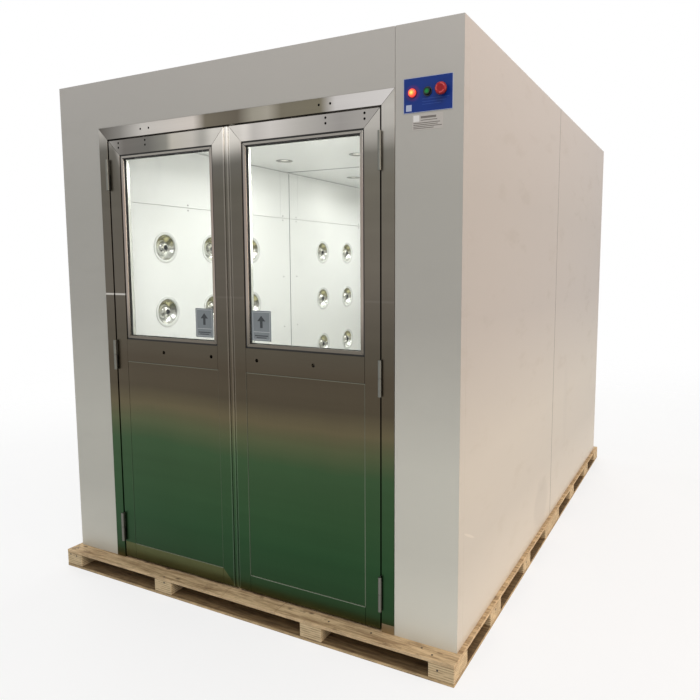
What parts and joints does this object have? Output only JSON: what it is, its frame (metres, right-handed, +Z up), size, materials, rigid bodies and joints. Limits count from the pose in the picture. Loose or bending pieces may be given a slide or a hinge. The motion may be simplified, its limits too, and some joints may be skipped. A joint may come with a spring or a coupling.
{
  "type": "air shower",
  "caption": "Walk-through cleanroom air shower cabin with double glazed steel doors at both ends, on two wooden pallets.",
  "frame": {"origin": "middle of the footprint, on the underside of the pallets", "axes": "+Z up; -Y is the front end with the control plate; +X is to the right of someone facing the front"},
  "size_m": [1.932, 2.898, 2.178],
  "materials": {
    "white_paint": "satin powder coat",
    "inner_paint": "satin powder coat",
    "stainless": "brushed",
    "polished_steel": "polished",
    "lamp_lens": "opal",
    "clear_glass": "clear",
    "notice_grey": "matte",
    "plate_blue": "satin",
    "black_plastic": "satin",
    "signal_orange": "lit lens",
    "button_green": "gloss",
    "stop_red": "gloss",
    "label_grey": "matte",
    "plywood": "raw"
  },
  "bodies": {
    "cabinet": {"pallet_decks": "plywood", "pallet_blocks": "plywood", "pallet_boards": "plywood", "base_pan": "stainless", "floors": "stainless", "front_casing": "stainless", "rear_casing": "stainless", "outer_walls_front": "white_paint", "outer_walls_rear": "white_paint", "roofs": "white_paint", "front_wall": "white_paint", "rear_wall": "white_paint", "ceilings": "inner_paint", "inner_walls_left": "inner_paint", "inner_walls_right": "inner_paint", "nozzle_rings_left": "polished_steel", "nozzle_rings_right": "polished_steel", "nozzle_balls_left": "polished_steel", "nozzle_balls_right": "polished_steel", "lamp_trims": "polished_steel", "front_hinge_posts": "polished_steel", "rear_hinge_posts": "polished_steel", "lamp_lenses": "lamp_lens", "control_plate": "plate_blue", "control_bezels": "black_plastic", "signal_lamp": "signal_orange", "label_plate": "label_grey"},
    "front_left_leaf": {"front_left_frame": "stainless", "front_left_beads": "stainless", "front_left_glass": "clear_glass", "front_left_notice": "notice_grey", "front_left_hinges": "polished_steel"},
    "front_right_leaf": {"front_right_frame": "stainless", "front_right_beads": "stainless", "front_right_glass": "clear_glass", "front_right_notice": "notice_grey", "front_right_hinges": "polished_steel"},
    "rear_left_leaf": {"rear_left_frame": "stainless", "rear_left_beads": "stainless", "rear_left_glass": "clear_glass", "rear_left_notice": "notice_grey", "rear_left_hinges": "polished_steel"},
    "rear_right_leaf": {"rear_right_frame": "stainless", "rear_right_beads": "stainless", "rear_right_glass": "clear_glass", "rear_right_notice": "notice_grey", "rear_right_hinges": "polished_steel"},
    "start_button": {"push_button": "button_green"},
    "stop_button": {"emergency_stop": "stop_red"}
  },
  "joints": [
    {"name": "front_left_door_hinge", "type": "hinge", "parent": "cabinet", "child": "front_left_leaf", "pos_m": [-0.656, -1.3895, 1], "axis": [0, 0, -1], "range_deg": [0, 100]},
    {"name": "front_right_door_hinge", "type": "hinge", "parent": "cabinet", "child": "front_right_leaf", "pos_m": [0.656, -1.3895, 1], "axis": [0, 0, 1], "range_deg": [0, 100]},
    {"name": "rear_left_door_hinge", "type": "hinge", "parent": "cabinet", "child": "rear_left_leaf", "pos_m": [0.656, 1.3895, 1], "axis": [0, 0, -1], "range_deg": [0, 100]},
    {"name": "rear_right_door_hinge", "type": "hinge", "parent": "cabinet", "child": "rear_right_leaf", "pos_m": [-0.656, 1.3895, 1], "axis": [0, 0, 1], "range_deg": [0, 100]},
    {"name": "start_button_push", "type": "slide", "parent": "cabinet", "child": "start_button", "axis": [0, 1, 0], "range_m": [0, 0.003], "stiffness_N_per_m": 400},
    {"name": "stop_button_push", "type": "slide", "parent": "cabinet", "child": "stop_button", "axis": [0, 1, 0], "range_m": [0, 0.005]}
  ]
}
